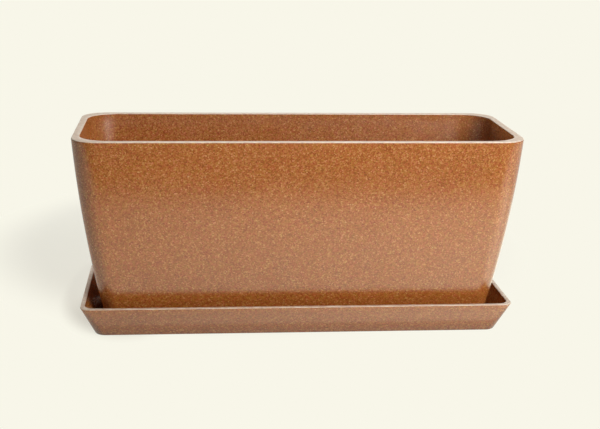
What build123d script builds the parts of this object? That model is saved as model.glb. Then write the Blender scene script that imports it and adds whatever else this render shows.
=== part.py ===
"""Windowsill herb planter: a tapering moulded trough that stands loose in its own drip saucer.

Millimetres, +Z up. The origin is the centre of the saucer's underside and +X runs along the length.
"""

import os
from math import radians, tan

from build123d import *

# Trough, outside
rim_length = 305.0
rim_width = 115.0
rim_corner = 18.0
rim_lip = 1.2  # straight stretch at the top of the wall
rim_edge = 0.5  # bevel along both edges of the rim
trough_height = 134.5
wall_draw_in = 19.7  # how far the wall leans in, from rim to foot
wall_bow = 2.3  # how far the wall swells out of a straight line, at half height
wall_bands = 9  # how many smooth patches the bowed wall is lofted in, from bottom to top
base_corner = 11.0
base_edge = 2.5

# Trough, inside
trough_wall = 4.8
inside_corner_extra = 3.0  # how much larger a corner's radius is inside than outside
inside_bands = 16  # how many straight bands the inside is lofted in, each under half a degree from the next
trough_floor = 4.8
floor_cove = 4.0

# Trough, underside
foot_height = 2.5
foot_width = 9.0
foot_corner = 5.0
foot_gap = 26.0
drain_diameter = 10.0
drain_spacing = 82.0
drain_count = 3

# Saucer
saucer_clearance = 5.6  # from the trough's foot to the saucer's wall, along the saucer's floor
saucer_height = 22.0
saucer_lean = 23.5  # degrees that the wall leans out
saucer_wall = 2.9
saucer_floor = 3.0
saucer_corner = 7.2  # both outside and inside
saucer_lip = 0.8  # straight stretch at the top of the wall
saucer_rim_edge = 0.4  # bevel along both edges of the rim
saucer_base_edge = 1.6
saucer_cove = 2.0
band_width = 10.0
band_height = 0.8
band_corner = 4.0

# The trough's foot rests on the saucer's floor
foot_level = saucer_floor
floor_underside = foot_level + foot_height
floor_top = floor_underside + trough_floor
rim_level = foot_level + trough_height
lip_level = rim_level - rim_lip
saucer_lip_level = saucer_height - saucer_lip
foot_length = rim_length - 2 * wall_draw_in
foot_depth = rim_width - 2 * wall_draw_in


def trough_section(level, wall=0.0, corner_extra=0.0):
    """The trough's outline at one level, or its inside where a wall is given."""
    rise = (level - foot_level) / (lip_level - foot_level)
    draw_in = wall_draw_in * (1 - rise) - 4 * wall_bow * rise * (1 - rise)
    length = rim_length - 2 * (draw_in + wall)
    width = rim_width - 2 * (draw_in + wall)
    corner = base_corner + (rim_corner - base_corner) * rise + corner_extra
    with BuildSketch(Plane.XY.offset(level)) as outline:
        RectangleRounded(length, width, corner)
    return outline.sketch


def inside_section(level):
    """The outline of the trough's inside at one level."""
    return trough_section(level, trough_wall, inside_corner_extra)


def trough_outside():
    """The bowed wall from the foot to the lip, in bands that run on smoothly, with the lip on top."""
    step = (lip_level - foot_level) / wall_bands
    for band in range(wall_bands):
        loft([trough_section(foot_level + step * (band + share)) for share in (0, 0.5, 1)])
    extrude(trough_section(lip_level), amount=rim_lip)


def trough_inside():
    """Hollows the trough from the floor to the rim."""
    step = (lip_level - floor_top) / inside_bands
    levels = [floor_top + step * band for band in range(inside_bands + 1)]
    loft([inside_section(level) for level in levels], ruled=True, mode=Mode.SUBTRACT)
    extrude(inside_section(lip_level), amount=rim_lip, mode=Mode.SUBTRACT)


def saucer_section(level, wall=0.0):
    """The saucer's outline at one level, or its inside where a wall is given."""
    lean_out = (level - saucer_floor) * tan(radians(saucer_lean))
    reach = saucer_clearance + saucer_wall + lean_out - wall
    with BuildSketch(Plane.XY.offset(level)) as outline:
        RectangleRounded(foot_length + 2 * reach, foot_depth + 2 * reach, saucer_corner)
    return outline.sketch


def saucer_body(low, wall=0.0, mode=Mode.ADD):
    """The saucer's flared wall from a low level to the lip, with the lip on top."""
    loft([saucer_section(level, wall) for level in (low, saucer_lip_level)], ruled=True, mode=mode)
    extrude(saucer_section(saucer_lip_level, wall), amount=saucer_lip, mode=mode)


os.makedirs("parts", exist_ok=True)

# Trough: a lofted shell with a coved floor and a flat rim
with BuildPart() as planter:
    trough_outside()
    fillet(planter.faces().sort_by(Axis.Z)[0].edges(), base_edge)
    trough_inside()
    inside_floor = planter.faces().filter_by(Plane.XY).sort_by(Axis.Z)[1]
    fillet(inside_floor.edges(), floor_cove)
    chamfer(planter.faces().sort_by(Axis.Z)[-1].edges(), rim_edge)

    # A foot ring lifts the floor, and gaps in the ring let the water run out
    with BuildSketch(Plane.XY.offset(foot_level)):
        RectangleRounded(foot_length - 2 * foot_width, foot_depth - 2 * foot_width, foot_corner)
    extrude(amount=foot_height, mode=Mode.SUBTRACT)
    with BuildSketch(Plane.XY.offset(foot_level)):
        with GridLocations((drain_count - 1) * drain_spacing, 0, 2, 1):
            Rectangle(foot_gap, rim_width)
        Rectangle(rim_length, foot_gap)
    extrude(amount=foot_height, mode=Mode.SUBTRACT)

    # Drain holes along the middle of the floor
    with Locations((0, 0, floor_top)):
        with GridLocations(drain_spacing, 0, drain_count, 1):
            Hole(drain_diameter / 2)

# Saucer: a flared tray that follows the trough's foot, on a low band
with BuildPart() as saucer:
    saucer_body(0)
    fillet(saucer.faces().sort_by(Axis.Z)[0].edges(), saucer_base_edge)
    saucer_body(saucer_floor, wall=saucer_wall, mode=Mode.SUBTRACT)
    tray_floor = saucer.faces().filter_by(Plane.XY).sort_by(Axis.Z)[1]
    fillet(tray_floor.edges(), saucer_cove)
    chamfer(saucer.faces().sort_by(Axis.Z)[-1].edges(), saucer_rim_edge)
    underside = saucer.faces().sort_by(Axis.Z)[0].bounding_box().size
    with BuildSketch():
        RectangleRounded(underside.X - 2 * band_width, underside.Y - 2 * band_width, band_corner)
    extrude(amount=band_height, mode=Mode.SUBTRACT)

planter.part.label = "planter"
export_step(planter.part, "parts/planter.step")
saucer.part.label = "saucer"
export_step(saucer.part, "parts/saucer.step")
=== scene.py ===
"""Looks of the windowsill herb planter: two moulded shells, their flecked finish, and a plain studio.

Metres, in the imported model's own frame: +X along the length, +Y to the back, +Z up.
"""

from math import atan, cos, pi, radians, sin, tan

import bmesh
import bpy
from mathutils import Matrix, Vector


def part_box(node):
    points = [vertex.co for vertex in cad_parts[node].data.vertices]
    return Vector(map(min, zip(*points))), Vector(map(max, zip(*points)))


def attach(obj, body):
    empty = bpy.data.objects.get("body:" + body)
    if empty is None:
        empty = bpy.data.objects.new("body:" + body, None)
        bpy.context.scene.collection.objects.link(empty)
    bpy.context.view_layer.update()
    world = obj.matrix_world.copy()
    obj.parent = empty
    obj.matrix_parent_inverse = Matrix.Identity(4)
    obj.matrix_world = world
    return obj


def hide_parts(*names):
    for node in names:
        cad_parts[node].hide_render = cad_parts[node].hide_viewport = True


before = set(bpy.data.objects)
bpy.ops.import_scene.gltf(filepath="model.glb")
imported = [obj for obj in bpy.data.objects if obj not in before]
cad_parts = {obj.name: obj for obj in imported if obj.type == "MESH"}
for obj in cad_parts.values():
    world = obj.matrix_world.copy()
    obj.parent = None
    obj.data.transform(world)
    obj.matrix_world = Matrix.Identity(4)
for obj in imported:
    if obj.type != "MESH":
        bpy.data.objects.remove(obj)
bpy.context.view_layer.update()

MM = 0.001
trough_low, trough_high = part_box("planter")
saucer_low, saucer_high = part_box("saucer")

# Trough
rim_corner = 18.0 * MM
rim_lip = 1.2 * MM  # straight stretch at the top of the wall
rim_round = 0.6 * MM
wall_draw_in = 19.7 * MM  # how far the wall leans in, from rim to foot
wall_bow = 2.3 * MM  # how far the wall swells out of a straight line, at half height
base_corner = 11.0 * MM
base_edge = 2.5 * MM
trough_wall = 4.8 * MM
inside_corner_extra = 3.0 * MM  # how much larger a corner's radius is inside than outside
trough_floor = 4.8 * MM
floor_cove = 4.0 * MM
foot_height = 2.5 * MM
foot_width = 9.0 * MM
foot_corner = 5.0 * MM
foot_gap = 26.0 * MM
drain_radius = 5.0 * MM
drain_edge = 0.4 * MM
drain_spacing = 82.0 * MM

# Saucer
saucer_lean = radians(23.5)
saucer_wall = 2.9 * MM
saucer_floor = trough_low.z - saucer_low.z
saucer_corner = 7.2 * MM  # both outside and inside
saucer_lip = 0.8 * MM
saucer_rim_round = 0.5 * MM
saucer_base_edge = 1.6 * MM
saucer_cove = 2.0 * MM
band_width = 10.0 * MM
band_height = 0.8 * MM
band_corner = 4.0 * MM

# Levels
foot_level = trough_low.z
floor_underside = foot_level + foot_height
floor_top = floor_underside + trough_floor
rim_level = trough_high.z
lip_level = rim_level - rim_lip
saucer_top = saucer_high.z
saucer_lip_level = saucer_top - saucer_lip

# How finely the shells are divided
CORNER_STEPS = 16
OUTER_STEPS = 5
GAP_STEPS = 4
MIDDLE_STEPS = 20
WALL_ROWS = 26
SAUCER_ROWS = 5
ROUND_STEPS = 5
COVE_STEPS = 6
DRAIN_STEPS = 40
SHARP_ANGLE = radians(32)

# Husk colours, each as stops from 0 to 1
HUSK_BROWNS = (
    (0.0, (0.225, 0.058, 0.009)),
    (0.3, (0.315, 0.090, 0.016)),
    (0.65, (0.375, 0.119, 0.025)),
    (0.9, (0.44, 0.158, 0.042)),
    (1.0, (0.53, 0.24, 0.08)),
)
DARK_HUSK = ((0.0, (0.12, 0.032, 0.010)), (1.0, (0.22, 0.065, 0.022)))
PALE_HUSK = ((0.0, (0.60, 0.26, 0.04)), (0.6, (0.68, 0.36, 0.07)), (1.0, (0.72, 0.48, 0.19)))
# Pale colour painted on the rims: partly rubbed husk, partly a painted highlight of the rims' satin sheen
PALE_RIM_WEAR_AND_HIGHLIGHT = (0.68, 0.58, 0.47, 1.0)

# Husk pattern
GRAINS_PER_METRE = 1300.0
TEARS_PER_METRE = 1100.0
TEAR_REACH = 0.9 * MM
CHIPS_PER_METRE = 700.0
LARGEST_CHIP = 0.42  # reach from a chip's middle, as a share of the pattern's step
SMALLEST_CHIP = 0.55 * LARGEST_CHIP
CHIP_EDGE = 0.25 * LARGEST_CHIP
DARK_CHIP_SHARE = 0.12
DARK_CHIP_STRENGTH = 0.6
PALE_CHIP_SHARE = 0.07
PALE_CHIP_STRENGTH = 0.5
CLOUDS_PER_METRE = 22.0
FINE_SPOTS_PER_METRE = 1700.0
HUE_SPOTS_PER_METRE = 650.0

# Satin skin
SKIN_IOR = 1.88
SMEARS_PER_METRE = 60.0
PEEL_PER_METRE = 420.0
PEEL_DEPTH = 0.2 * MM
PEEL_STRENGTH = 0.12
GRAIN_RELIEF = 0.3  # as a share of the orange peel
CHIP_RELIEF = 0.1  # as a share of the orange peel

# Pale rims, partly rubbed wear and partly a painted highlight of their sheen: how far the top of each is
# painted pale, where 1 is as far as its edges
TROUGH_TOP_WEAR_AND_HIGHLIGHT = 0.75
SAUCER_TOP_WEAR_AND_HIGHLIGHT = 1.0
WEAR_AND_HIGHLIGHT_PATCHES_PER_METRE = 300.0
RUBBED_DULLNESS = 0.35  # roughness that rubbing adds

# Background, as the camera sees it, and the dim light from all round
BACKGROUND = (0.939, 0.922, 0.815, 1.0)
AMBIENT_COLOUR = (1.0, 0.98, 0.95, 1.0)
AMBIENT_ABOVE = 0.04
AMBIENT_BELOW = 0.02
HORIZON_FADE = -0.06  # height of a direction at which the background has faded out below the horizon

# Floor
FLOOR_FRONT = -0.25
FLOOR_BACK = 0.75
FLOOR_SIDE = 0.8
FLOOR_LEVEL = -0.2 * MM  # just under the saucer, so that no two flat faces share a place
FLOOR_COLOUR = (0.88, 0.865, 0.80, 1.0)
FLOOR_TINT = (1.0, 0.97, 0.75)  # colour of the light that the floor throws up

# Ovals on the floor, each as a centre, a reach, and how far out, as a share, its soft edge begins
LIT_OVAL = ((0.0, 0.06), (0.36, 0.30), 0.45)
SOFT_SHADOW_OVAL = ((-0.023, 0.192), (0.245, 0.257), 0.72)
CLOSE_SHADOW_OVAL = ((-0.120, 0.065), (0.060, 0.128), 0.75)

# How much of the floor is background inside those ovals
LIT_SHARE = 0.62
MIRRORED_SHARE = 0.80
SOFT_SHADOW_SHARE = 0.68
CLOSE_SHADOW_SHARE = 0.62

# Where the mirrored floor is dimmest, where it is at its full brightness, and how dim it gets
MIRROR_DIM_X = -0.25
MIRROR_FULL_X = 0.15
MIRROR_DIMMEST = 0.58

# Low panels just above the floor, each from left to right and from its near edge to its far edge
FRONT_PANEL = ((-0.32, 0.38), (-0.052, -0.29))
FAR_PANEL = ((-0.45, 0.55), (-0.30, -0.80))
LEFT_PANEL = ((-0.42, -0.165), (0.15, -0.20))
RIGHT_PANEL = ((0.165, 0.42), (0.25, -0.20))
PANEL_LEVEL = 1.0 * MM
RAISED_PANEL_LEVEL = 2.0 * MM  # for a second panel in one place, because in one plane they hide each other
PANEL_EVEN_SHARE = 0.3  # how much of a panel is evenly bright, from its near edge

# Camera, worked out from edges of the planter that were measured in the photo
PHOTO_WIDTH = 600  # pixels
FOCAL_PIXELS = 1183.1
SENSOR_WIDTH = 36.0  # millimetres, as Blender counts it
CAMERA_PLACE = Vector((-73.4, -818.7, 287.7)) * MM
CAMERA_YAW = radians(5.404)
CAMERA_PITCH = radians(14.606)
CAMERA_ROLL = radians(1.042)


def even(start, stop, steps):
    """Places from start to stop in even steps, both ends included."""
    return [start + (stop - start) * step / steps for step in range(steps + 1)]


# Places along the straight sides where every outline has a point, to give the foot's gaps clean edges
near_gap = drain_spacing - foot_gap / 2
far_gap = drain_spacing + foot_gap / 2
left_stops = even(-far_gap, -near_gap, GAP_STEPS)
middle_stops = even(-near_gap, near_gap, MIDDLE_STEPS)
right_stops = even(near_gap, far_gap, GAP_STEPS)
long_stops = left_stops[:-1] + middle_stops + right_stops[1:]
short_stops = even(-foot_gap / 2, foot_gap / 2, GAP_STEPS)


def along_side(end, stops):
    """Places along a straight side: the fixed stops, and even steps from them out to the corners."""
    return even(-end, stops[0], OUTER_STEPS)[:-1] + stops + even(stops[-1], end, OUTER_STEPS)[1:]


def corner_arc(x, y, radius, start):
    """A quarter corner's points between its two ends, anticlockwise."""
    turns = [radians(start + 90 * step / CORNER_STEPS) for step in range(1, CORNER_STEPS)]
    return [(x + radius * cos(turn), y + radius * sin(turn)) for turn in turns]


def outline(half_length, half_width, corner, level):
    """One rounded outline as points, anticlockwise from the front left."""
    long_end = half_length - corner
    short_end = half_width - corner
    along = along_side(long_end, long_stops)
    across = along_side(short_end, short_stops)
    points = [(x, -half_width) for x in along]
    points += corner_arc(long_end, -short_end, corner, -90)
    points += [(half_length, y) for y in across]
    points += corner_arc(long_end, short_end, corner, 0)
    points += [(-x, half_width) for x in along]
    points += corner_arc(-long_end, short_end, corner, 90)
    points += [(-half_length, -y) for y in across]
    points += corner_arc(-long_end, -short_end, corner, 180)
    return [Vector((x, y, level)) for x, y in points]


def wall_rise(level):
    """How far up the wall a level is, from 0 at the foot to 1 at the lip."""
    return min((level - foot_level) / (lip_level - foot_level), 1.0)


def draw_in(level):
    """How far the trough's outside lies in from the rim's outline at one level."""
    rise = wall_rise(level)
    return wall_draw_in * (1 - rise) - 4 * wall_bow * rise * (1 - rise)


def wall_lean(level):
    """The wall's angle from upright at one level."""
    slope = wall_draw_in + 4 * wall_bow * (1 - 2 * wall_rise(level))
    return atan(slope / (lip_level - foot_level))


def saucer_draw_in(level):
    """How far the saucer's outside lies in from its rim's outline at one level."""
    return max(saucer_lip_level - level, 0) * tan(saucer_lean)


def wall_corner(depth, wall, outside, inside):
    """A corner's radius at a depth into a wall. It runs on from the outside, and on from the inside."""
    if depth < wall / 2:
        return outside - depth
    if depth > wall / 2:
        return inside - (depth - wall)
    return (outside + inside) / 2


def trough_outline(inset, level, corner=None):
    """The trough's outline at one level, drawn in from the rim's outline by an inset."""
    if corner is None:
        outside = base_corner + (rim_corner - base_corner) * wall_rise(level)
        inside = outside + inside_corner_extra
        corner = wall_corner(inset - draw_in(level), trough_wall, outside, inside)
    return outline(trough_high.x - inset, trough_high.y - inset, corner, level)


def saucer_outline(inset, level, corner=None):
    """The saucer's outline at one level, drawn in from its rim's outline by an inset."""
    if corner is None:
        corner = wall_corner(inset - saucer_draw_in(level), saucer_wall, saucer_corner, saucer_corner)
    return outline(saucer_high.x - inset, saucer_high.y - inset, corner, level)


def rounded_rim(radius, wall, top):
    """Insets and levels over a rim, from the outside to the inside, with both edges rounded."""
    turns = [radians(turn) for turn in even(0, 90, ROUND_STEPS)]
    outer = [(radius * (1 - cos(turn)), top - radius * (1 - sin(turn))) for turn in turns]
    middle = [(wall / 2, top)]
    inner = [(wall - inset, level) for inset, level in reversed(outer)]
    return outer + middle + inner


def edge_fillet(inset, level, lean, radius):
    """Insets and levels round an outside edge, from the leaning wall down to the flat underside."""
    centre_inset = inset - radius * tan(lean) + radius / cos(lean)
    turns = even(radians(90) - lean, 0, ROUND_STEPS)
    return [(centre_inset - radius * sin(turn), level + radius - radius * cos(turn)) for turn in turns]


def floor_fillet(inset, level, lean, radius):
    """Insets and levels round an inside edge, from the leaning wall down to the flat floor."""
    centre_inset = inset - radius * tan(lean) + radius / cos(lean)
    turns = even(lean, radians(90), COVE_STEPS)
    return [(centre_inset - radius * cos(turn), level + radius - radius * sin(turn)) for turn in turns]


def add_ring(mesh, points):
    """Adds an outline's points to a mesh."""
    return [mesh.verts.new(point) for point in points]


def join_rings(mesh, first, second, skip=()):
    """Joins two rings of points with a strip of faces, apart from the steps to skip."""
    count = len(first)
    for step in range(count):
        if step not in skip:
            ahead = (step + 1) % count
            mesh.faces.new((first[step], first[ahead], second[ahead], second[step]))


def ring_edges(mesh, ring):
    """The edges that run round a ring of points."""
    return [mesh.edges.get((ring[step - 1], ring[step])) for step in range(len(ring))]


def add_drain(mesh, x):
    """Adds one drain hole with softened edges. Gives its rings at the underside and at the floor."""
    steps = [
        (drain_radius + drain_edge, floor_underside),
        (drain_radius, floor_underside + drain_edge),
        (drain_radius, floor_top - drain_edge),
        (drain_radius + drain_edge, floor_top),
    ]
    turns = [radians(360 * step / DRAIN_STEPS) for step in range(DRAIN_STEPS)]
    rings = []
    for radius, level in steps:
        points = [Vector((x + radius * cos(turn), radius * sin(turn), level)) for turn in turns]
        rings.append(add_ring(mesh, points))
    for lower, upper in zip(rings, rings[1:]):
        join_rings(mesh, lower, upper)
    return rings[0], rings[-1]


def new_shell():
    """An empty mesh whose points can be marked for wear and painted highlight."""
    mesh = bmesh.new()
    mesh.verts.layers.float.new("edge_wear_and_highlight")
    return mesh


def mark_wear_and_highlight(mesh, rings, top_wear):
    """Marks where a rim is painted pale, partly for rubbed husk and partly as a painted highlight: fully
    on its rounded edges, and by a share on top.
    """
    layer = mesh.verts.layers.float["edge_wear_and_highlight"]
    last = len(rings) - 1
    for row, ring in enumerate(rings):
        from_wall = min(row, last - row)
        wear = top_wear if from_wall > ROUND_STEPS else min(from_wall, 1.0)
        for vert in ring:
            vert[layer] = wear


def finish_piece(mesh, name, body, node):
    """Turns a closed mesh into a smooth piece that stands for a CAD node and rides on its body."""
    bmesh.ops.recalc_face_normals(mesh, faces=mesh.faces)
    data = bpy.data.meshes.new(name)
    mesh.to_mesh(data)
    mesh.free()
    data.shade_smooth()
    data.set_sharp_from_angle(angle=SHARP_ANGLE)
    piece = bpy.data.objects.new(name, data)
    bpy.context.scene.collection.objects.link(piece)
    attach(piece, body)
    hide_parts(node)
    return piece


def in_gap(first, second):
    """Whether a step along the foot lies in one of its gaps."""
    middle = (first.co + second.co) / 2
    return abs(abs(middle.x) - drain_spacing) < foot_gap / 2 or abs(middle.y) < foot_gap / 2


def make_foot(mesh, wall_ring):
    """Adds the foot ring, with its gaps, below the wall. Gives the ring round the floor's underside."""
    profile = edge_fillet(wall_draw_in, foot_level, wall_lean(foot_level), base_edge)
    rings = [wall_ring] + [add_ring(mesh, trough_outline(inset, level)) for inset, level in profile]
    inner_inset = wall_draw_in + foot_width
    for level in (foot_level, floor_underside):
        rings.append(add_ring(mesh, trough_outline(inner_inset, level, foot_corner)))
    count = len(wall_ring)
    gaps = {step for step in range(count) if in_gap(wall_ring[step], wall_ring[(step + 1) % count])}
    for first, second in zip(rings, rings[1:]):
        join_rings(mesh, first, second, skip=gaps)
    solid = set(range(count)) - gaps
    join_rings(mesh, wall_ring, rings[-1], skip=solid)
    for step in range(count):
        if (step in gaps) != ((step - 1) % count in gaps):
            mesh.faces.new([ring[step] for ring in rings])
    return rings[-1]


def make_trough():
    """The trough: bowed wall, rounded rim, coved floor, drains and foot ring."""
    mesh = new_shell()
    outside = [(draw_in(level), level) for level in even(floor_underside, lip_level, WALL_ROWS)]
    rim = rounded_rim(rim_round, trough_wall, rim_level)
    cove_inset = draw_in(floor_top) + trough_wall
    cove = floor_fillet(cove_inset, floor_top, wall_lean(floor_top), floor_cove)
    inside_levels = even(lip_level, cove[0][1], WALL_ROWS)[:-1]
    inside = [(draw_in(level) + trough_wall, level) for level in inside_levels]
    profile = outside + rim + inside + cove
    rings = [add_ring(mesh, trough_outline(inset, level)) for inset, level in profile]
    for first, second in zip(rings, rings[1:]):
        join_rings(mesh, first, second)
    underside_ring = make_foot(mesh, rings[0])
    drains = [add_drain(mesh, x) for x in (-drain_spacing, 0, drain_spacing)]
    for border, end in ((underside_ring, 0), (rings[-1], 1)):
        edges = ring_edges(mesh, border)
        for drain in drains:
            edges += ring_edges(mesh, drain[end])
        bmesh.ops.triangle_fill(mesh, use_beauty=True, edges=edges)
    mark_wear_and_highlight(mesh, rings[len(outside):len(outside) + len(rim)], TROUGH_TOP_WEAR_AND_HIGHLIGHT)
    return finish_piece(mesh, "planter_trough", "planter", "planter")


def make_saucer():
    """The saucer: flared wall, rounded rim, coved floor and a low band underneath."""
    mesh = new_shell()
    underside = edge_fillet(saucer_draw_in(0), 0, saucer_lean, saucer_base_edge)
    wall_levels = even(underside[0][1], saucer_lip_level, SAUCER_ROWS)[1:]
    outside = underside[::-1] + [(saucer_draw_in(level), level) for level in wall_levels]
    rim = rounded_rim(saucer_rim_round, saucer_wall, saucer_top)
    cove_inset = saucer_draw_in(saucer_floor) + saucer_wall
    cove = floor_fillet(cove_inset, saucer_floor, saucer_lean, saucer_cove)
    inside_levels = even(saucer_lip_level, cove[0][1], SAUCER_ROWS)[:-1]
    inside = [(saucer_draw_in(level) + saucer_wall, level) for level in inside_levels]
    profile = outside + rim + inside + cove
    shell = [add_ring(mesh, saucer_outline(inset, level)) for inset, level in profile]
    band_inset = underside[-1][0] + band_width
    recess_levels = (band_height, 0)
    recess = [add_ring(mesh, saucer_outline(band_inset, level, band_corner)) for level in recess_levels]
    rings = recess + shell
    for first, second in zip(rings, rings[1:]):
        join_rings(mesh, first, second)
    mesh.faces.new(rings[0])
    mesh.faces.new(rings[-1])
    mark_wear_and_highlight(mesh, shell[len(outside):len(outside) + len(rim)], SAUCER_TOP_WEAR_AND_HIGHLIGHT)
    return finish_piece(mesh, "saucer_tray", "saucer", "saucer")


def add_node(tree, kind, inputs=None, **settings):
    """Adds a shader node, sets it up, and links or fills its inputs."""
    node = tree.nodes.new(kind)
    for name, value in settings.items():
        setattr(node, name, value)
    for name, value in (inputs or {}).items():
        if isinstance(value, bpy.types.NodeSocket):
            tree.links.new(value, node.inputs[name])
        else:
            node.inputs[name].default_value = value
    return node


def maths(tree, operation, *values):
    """A Math node's result."""
    return add_node(tree, "ShaderNodeMath", dict(enumerate(values)), operation=operation).outputs[0]


def vector_maths(tree, operation, *values):
    """A Vector Math node's resulting vector."""
    return add_node(tree, "ShaderNodeVectorMath", dict(enumerate(values)), operation=operation).outputs[0]


def spread(tree, value, low, high, new_low=0.0, new_high=1.0, smooth=False):
    """Maps a value from one range to another, held at both ends."""
    inputs = {"Value": value, "From Min": low, "From Max": high, "To Min": new_low, "To Max": new_high}
    kind = "SMOOTHSTEP" if smooth else "LINEAR"
    return add_node(tree, "ShaderNodeMapRange", inputs, interpolation_type=kind).outputs["Result"]


def mix_colour(tree, share, first, second):
    """A share of the second colour over the first, on the Mix node's numbered colour sockets."""
    inputs = {0: share, 6: first, 7: second}
    return add_node(tree, "ShaderNodeMix", inputs, data_type="RGBA").outputs[2]


def mix_shader(tree, share, first, second):
    """A share of the second shader over the first."""
    return add_node(tree, "ShaderNodeMixShader", {0: share, 1: first, 2: second}).outputs[0]


def noise(tree, place, per_metre, detail):
    """A noise value about 0.5."""
    inputs = {"Vector": place, "Scale": per_metre, "Detail": detail}
    return add_node(tree, "ShaderNodeTexNoise", inputs).outputs["Fac"]


def patches(tree, place, per_metre, low, high, detail=1.0, swing=0.2):
    """Soft patches from low to high, reached where the noise swings this far to either side of 0.5."""
    return spread(tree, noise(tree, place, per_metre, detail), 0.5 - swing, 0.5 + swing, low, high)


def ramp(tree, value, stops):
    """A colour from a row of (place, colour) stops."""
    node = add_node(tree, "ShaderNodeValToRGB", {"Fac": value})
    elements = node.color_ramp.elements
    while len(elements) < len(stops):
        elements.new(0.5)
    for element, (place, colour) in zip(elements, stops):
        element.position = place
        element.color = (*colour, 1.0)
    return node.outputs["Color"]


def torn_places(tree, place):
    """Places shaken a little, because husk is torn and not round."""
    shaking = {"Vector": place, "Scale": TEARS_PER_METRE, "Detail": 1.0}
    shake = add_node(tree, "ShaderNodeTexNoise", shaking).outputs["Color"]
    centred = vector_maths(tree, "SUBTRACT", shake, (0.5, 0.5, 0.5))
    offset = vector_maths(tree, "MULTIPLY", centred, (TEAR_REACH, TEAR_REACH, TEAR_REACH))
    return vector_maths(tree, "ADD", place, offset)


def random_cells(tree, place, per_metre):
    """A mosaic of cells: the distance from each cell's middle, and three random numbers for each cell."""
    cells = add_node(tree, "ShaderNodeTexVoronoi", {"Vector": place, "Scale": per_metre}).outputs
    return cells["Distance"], add_node(tree, "ShaderNodeSeparateColor", {"Color": cells["Color"]}).outputs


def chips(tree, place, share):
    """Small chips of husk in a share of the cells: a mask, and a random number for each chip."""
    distance, random = random_cells(tree, place, CHIPS_PER_METRE)
    chosen = maths(tree, "LESS_THAN", random["Red"], share)
    reach = spread(tree, random["Blue"], 0, 1, SMALLEST_CHIP, LARGEST_CHIP)
    spot = spread(tree, maths(tree, "SUBTRACT", reach, distance), 0, CHIP_EDGE, smooth=True)
    return maths(tree, "MULTIPLY", chosen, spot), random["Green"]


def husk_colour(tree, place, torn, grain, pale_chips):
    """Brown grains with sparse chips, cloudy at a large scale, and spotted in tone and hue at a fine one.

    The pale chips take the places of some of the dark ones.
    """
    colour = ramp(tree, grain, HUSK_BROWNS)
    layers = (
        (chips(tree, torn, DARK_CHIP_SHARE), DARK_CHIP_STRENGTH, DARK_HUSK),
        (pale_chips, PALE_CHIP_STRENGTH, PALE_HUSK),
    )
    for (mask, random), strength, stops in layers:
        share = maths(tree, "MULTIPLY", mask, strength)
        colour = mix_colour(tree, share, colour, ramp(tree, random, stops))
    cloud = patches(tree, place, CLOUDS_PER_METRE, low=0.45, high=0.51, detail=3.0)
    fine = patches(tree, place, FINE_SPOTS_PER_METRE, low=0.44, high=0.60, swing=0.25)
    hue = patches(tree, torn, HUE_SPOTS_PER_METRE, low=0.487, high=0.514)
    shifts = {"Hue": hue, "Value": maths(tree, "ADD", cloud, fine), "Color": colour}
    return add_node(tree, "ShaderNodeHueSaturation", shifts).outputs["Color"]


def wear_and_highlight_share(tree, place):
    """How far the pale rim colour shows, in patches along the rims: partly rubbed husk, partly a painted
    highlight.
    """
    wear = add_node(tree, "ShaderNodeAttribute", attribute_name="edge_wear_and_highlight").outputs["Fac"]
    patchy = patches(tree, place, WEAR_AND_HIGHLIGHT_PATCHES_PER_METRE, low=0.6, high=0.95, detail=2.0, swing=0.12)
    return maths(tree, "MULTIPLY", wear, patchy)


def skin_roughness(tree, place, wear_and_highlight):
    """A faintly smeared satin skin, duller along the pale rims."""
    smear = patches(tree, place, SMEARS_PER_METRE, low=0.18, high=0.25, detail=4.0)
    return maths(tree, "ADD", smear, maths(tree, "MULTIPLY", wear_and_highlight, RUBBED_DULLNESS))


def skin_normal(tree, place, grain, pale_mask):
    """A faint orange peel, from which grains and pale chips stand out a little."""
    peel = noise(tree, place, PEEL_PER_METRE, detail=2.0)
    grainy = maths(tree, "ADD", peel, maths(tree, "MULTIPLY", grain, GRAIN_RELIEF))
    height = maths(tree, "ADD", grainy, maths(tree, "MULTIPLY", pale_mask, CHIP_RELIEF))
    relief = {"Height": height, "Strength": PEEL_STRENGTH, "Distance": PEEL_DEPTH}
    return add_node(tree, "ShaderNodeBump", relief).outputs["Normal"]


def make_composite(name):
    """Brown plastic filled with ground husk, with a satin skin and pale rims that are partly rubbed wear
    and partly a painted highlight.
    """
    material = bpy.data.materials.new(name)
    material.use_nodes = True
    tree = material.node_tree
    skin = tree.nodes["Principled BSDF"].inputs
    place = add_node(tree, "ShaderNodeTexCoord").outputs["Object"]
    torn = torn_places(tree, place)
    grain = random_cells(tree, torn, GRAINS_PER_METRE)[1]["Red"]
    pale_chips = chips(tree, torn, PALE_CHIP_SHARE)
    pale_mask = pale_chips[0]
    wear_and_highlight = wear_and_highlight_share(tree, place)
    husk = husk_colour(tree, place, torn, grain, pale_chips)
    # The pale rims: partly rubbed husk, partly a painted highlight of their sheen
    tree.links.new(mix_colour(tree, wear_and_highlight, husk, PALE_RIM_WEAR_AND_HIGHLIGHT), skin["Base Color"])
    tree.links.new(skin_roughness(tree, place, wear_and_highlight), skin["Roughness"])
    tree.links.new(skin_normal(tree, place, grain, pale_mask), skin["Normal"])
    skin["IOR"].default_value = SKIN_IOR
    return material


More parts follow.
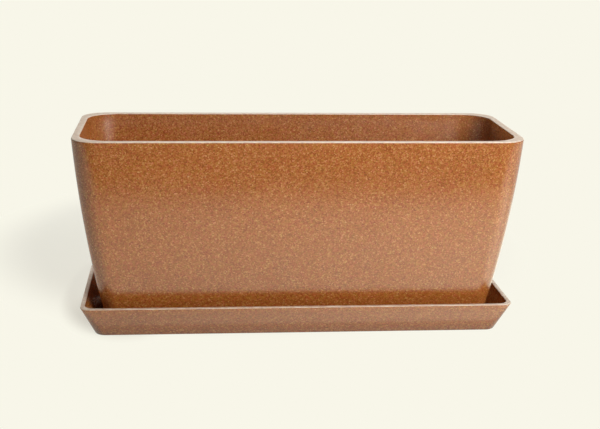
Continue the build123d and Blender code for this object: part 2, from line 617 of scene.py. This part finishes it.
def background_rays(tree):
    """Whether a ray shows the background itself, and whether it comes straight from the camera.

    Mirrored rays and rays through glass show it too. Light that a dull surface has scattered on the way
    doesn't, so the gaps stay dark.
    """
    path = add_node(tree, "ShaderNodeLightPath").outputs
    camera_ray = path["Is Camera Ray"]
    direct = maths(tree, "MAXIMUM", camera_ray, path["Is Glossy Ray"])
    direct = maths(tree, "MAXIMUM", direct, path["Is Transmission Ray"])
    unscattered = maths(tree, "LESS_THAN", path["Diffuse Depth"], 1.0)
    return maths(tree, "MULTIPLY", direct, unscattered), camera_ray


def oval_fade(tree, place, oval, middle):
    """A value on the floor that is the middle one inside an oval, and 1 outside its soft edge."""
    centre, reach, edge_start = oval
    offset = vector_maths(tree, "SUBTRACT", place, (*centre, 0.0))
    share = vector_maths(tree, "DIVIDE", offset, (*reach, 1.0))
    far_out = add_node(tree, "ShaderNodeVectorMath", {0: share}, operation="LENGTH").outputs["Value"]
    return spread(tree, far_out, edge_start, 1.0, middle, 1.0, smooth=True)


def make_floor_material(name):
    """Cream floor that fades into the background, and is clear from below.

    The camera sees the background's colour with a share of the real shadow. The satin skin mirrors a floor
    that is dimmer on the left, and dull surfaces get a share of the light that falls on it.
    """
    material = bpy.data.materials.new(name)
    material.use_nodes = True
    tree = material.node_tree
    tree.nodes.remove(tree.nodes["Principled BSDF"])
    place = add_node(tree, "ShaderNodeTexCoord").outputs["Object"]
    across = add_node(tree, "ShaderNodeSeparateXYZ", {0: place}).outputs["X"]
    seen, camera_ray = background_rays(tree)

    # How much of the floor is background, to the camera and to other rays
    soft_shadow = oval_fade(tree, place, SOFT_SHADOW_OVAL, SOFT_SHADOW_SHARE)
    close_shadow = oval_fade(tree, place, CLOSE_SHADOW_OVAL, CLOSE_SHADOW_SHARE)
    camera_share = maths(tree, "MINIMUM", soft_shadow, close_shadow)
    lit_share = spread(tree, seen, 0, 1, LIT_SHARE, MIRRORED_SHARE)
    other_share = oval_fade(tree, place, LIT_OVAL, lit_share)
    share = spread(tree, camera_ray, 0, 1, other_share, camera_share)

    # How bright that background is
    mirrored = spread(tree, across, MIRROR_DIM_X, MIRROR_FULL_X, MIRROR_DIMMEST, 1.0)
    strength = maths(tree, "MULTIPLY", seen, maths(tree, "MAXIMUM", camera_ray, mirrored))
    glow = add_node(tree, "ShaderNodeEmission", {"Color": BACKGROUND, "Strength": strength}).outputs[0]
    sheet = add_node(tree, "ShaderNodeBsdfDiffuse", {"Color": FLOOR_COLOUR}).outputs[0]
    from_above = mix_shader(tree, share, sheet, glow)
    below = add_node(tree, "ShaderNodeNewGeometry").outputs["Backfacing"]
    clear = add_node(tree, "ShaderNodeBsdfTransparent").outputs[0]
    surface = mix_shader(tree, below, from_above, clear)
    tree.links.new(surface, tree.nodes["Material Output"].inputs["Surface"])
    return material


def floor_corners(left, right, front, back):
    """A rectangle's corners on the floor, anticlockwise from the front left."""
    places = ((left, front), (right, front), (right, back), (left, back))
    return [(x, y, FLOOR_LEVEL) for x, y in places]


def make_floor():
    """A flat floor, with a hole that the saucer covers so that the underside can be looked at."""
    covered = saucer_draw_in(0) + 2 * saucer_base_edge
    hole_x = saucer_high.x - covered
    hole_y = saucer_high.y - covered
    outer = floor_corners(-FLOOR_SIDE, FLOOR_SIDE, FLOOR_FRONT, FLOOR_BACK)
    inner = floor_corners(-hole_x, hole_x, -hole_y, hole_y)
    data = bpy.data.meshes.new("floor")
    data.from_pydata(outer + inner, [], [(0, 1, 5, 4), (1, 2, 6, 5), (2, 3, 7, 6), (3, 0, 4, 7)])
    data.materials.append(make_floor_material("floor_sheet"))
    floor = bpy.data.objects.new("floor", data)
    bpy.context.scene.collection.objects.link(floor)


def make_world():
    """Dim light all round, and the pale background where it is seen or is mirrored above the horizon."""
    world = bpy.data.worlds.new("studio")
    bpy.context.scene.world = world
    world.use_nodes = True
    tree = world.node_tree
    tree.nodes.remove(tree.nodes["Background"])
    direction = add_node(tree, "ShaderNodeTexCoord").outputs["Generated"]
    height = add_node(tree, "ShaderNodeSeparateXYZ", {0: direction}).outputs["Z"]
    above = spread(tree, height, HORIZON_FADE, 0.0, smooth=True)
    seen, camera_ray = background_rays(tree)
    shown = maths(tree, "MAXIMUM", camera_ray, maths(tree, "MULTIPLY", seen, above))
    dim = spread(tree, height, HORIZON_FADE, 0.0, AMBIENT_BELOW, AMBIENT_ABOVE)
    ambient = add_node(tree, "ShaderNodeBackground", {"Color": AMBIENT_COLOUR, "Strength": dim})
    backdrop = add_node(tree, "ShaderNodeBackground", {"Color": BACKGROUND, "Strength": 1.0})
    surface = mix_shader(tree, shown, ambient.outputs[0], backdrop.outputs[0])
    tree.links.new(surface, tree.nodes["World Output"].inputs["Surface"])


def new_lamp(name, width, depth, power):
    """A rectangular lamp that the camera doesn't see."""
    data = bpy.data.lights.new(name, "AREA")
    data.shape = "RECTANGLE"
    data.size = width
    data.size_y = depth
    data.energy = power
    lamp = bpy.data.objects.new(name, data)
    lamp.visible_camera = False
    bpy.context.scene.collection.objects.link(lamp)
    return lamp


def make_light(name, azimuth, elevation, distance, size, power):
    """A soft box turned to the planter. Azimuth 0 is in front, and 90 on the right."""
    lamp = new_lamp(name, *size, power)
    turn = radians(azimuth)
    tilt = radians(elevation)
    away = Vector((sin(turn) * cos(tilt), -cos(turn) * cos(tilt), sin(tilt)))
    lamp.location = away * distance + Vector((0, 0, rim_level / 2))
    lamp.rotation_euler = away.to_track_quat("Z", "Y").to_euler()
    return lamp


def make_panel(name, area, level, lean, power):
    """A low panel for light that the floor throws up.

    It fades from its near edge, at the back, to its far edge, in front. A positive lean makes it brighter
    on the right, and a negative one on the left.
    """
    (left, right), (near, far) = area
    panel = new_lamp(name, right - left, near - far, power)
    panel.location = ((left + right) / 2, (near + far) / 2, level)
    panel.rotation_euler = (pi, 0, 0)
    panel.data.color = FLOOR_TINT
    panel.data.use_nodes = True
    tree = panel.data.node_tree
    place = add_node(tree, "ShaderNodeNewGeometry").outputs["Parametric"]
    shares = add_node(tree, "ShaderNodeSeparateXYZ", {0: place}).outputs
    sideways = spread(tree, shares["X"], 0, 1, 1.0 - lean, 1.0 + lean)
    away = spread(tree, shares["Y"], PANEL_EVEN_SHARE, 1.0, 1.0, 0.0)
    tree.links.new(maths(tree, "MULTIPLY", sideways, away), tree.nodes["Emission"].inputs["Strength"])
    return panel


def make_lights():
    """Soft boxes all round and one underneath, and low panels in front and at both ends.

    Some lamps act only on the dull colour, and the two bounce panels only on the satin reflection.
    """
    make_light("key", azimuth=30, elevation=28, distance=0.95, size=(0.5, 0.5), power=8.2)
    make_light("side", azimuth=48, elevation=16, distance=1.25, size=(0.5, 0.4), power=2.0)
    make_light("back", azimuth=165, elevation=60, distance=1.25, size=(0.6, 0.6), power=6.0)
    back_fill = make_light(
        "back_fill", azimuth=205, elevation=6, distance=1.25, size=(0.9, 0.3), power=9.0
    )
    make_light("under", azimuth=20, elevation=-75, distance=0.8, size=(0.5, 0.5), power=6.0)
    bounce = make_panel("bounce", FRONT_PANEL, PANEL_LEVEL, lean=1.0, power=0.25)
    low_fill = make_panel("low_fill", FRONT_PANEL, RAISED_PANEL_LEVEL, lean=1.0, power=0.125)
    fill = make_panel("fill", FAR_PANEL, PANEL_LEVEL, lean=0.4, power=5.3)
    left_fill = make_panel("left_fill", LEFT_PANEL, PANEL_LEVEL, lean=1.0, power=0.36)
    right_bounce = make_panel("right_bounce", RIGHT_PANEL, PANEL_LEVEL, lean=-1.0, power=0.25)
    for lamp in (back_fill, low_fill, fill, left_fill):
        lamp.visible_glossy = False
    for lamp in (bounce, right_bounce):
        lamp.visible_diffuse = False


def make_camera():
    """The photograph's view."""
    ahead = cos(CAMERA_PITCH)
    forward = Vector((sin(CAMERA_YAW) * ahead, cos(CAMERA_YAW) * ahead, -sin(CAMERA_PITCH)))
    level_right = Vector((cos(CAMERA_YAW), -sin(CAMERA_YAW), 0))
    level_up = level_right.cross(forward)
    right = cos(CAMERA_ROLL) * level_right + sin(CAMERA_ROLL) * level_up
    up = cos(CAMERA_ROLL) * level_up - sin(CAMERA_ROLL) * level_right
    data = bpy.data.cameras.new("camera")
    data.sensor_width = SENSOR_WIDTH
    data.lens = FOCAL_PIXELS * SENSOR_WIDTH / PHOTO_WIDTH
    camera = bpy.data.objects.new("camera", data)
    turned = Matrix((right, up, -forward)).transposed().to_4x4()
    camera.matrix_world = Matrix.Translation(CAMERA_PLACE) @ turned
    bpy.context.scene.collection.objects.link(camera)
    bpy.context.scene.camera = camera


composite = make_composite("husk_composite")
make_trough().data.materials.append(composite)
make_saucer().data.materials.append(composite)
make_floor()
make_world()
make_lights()
make_camera()
bpy.context.scene.view_settings.view_transform = "Standard"
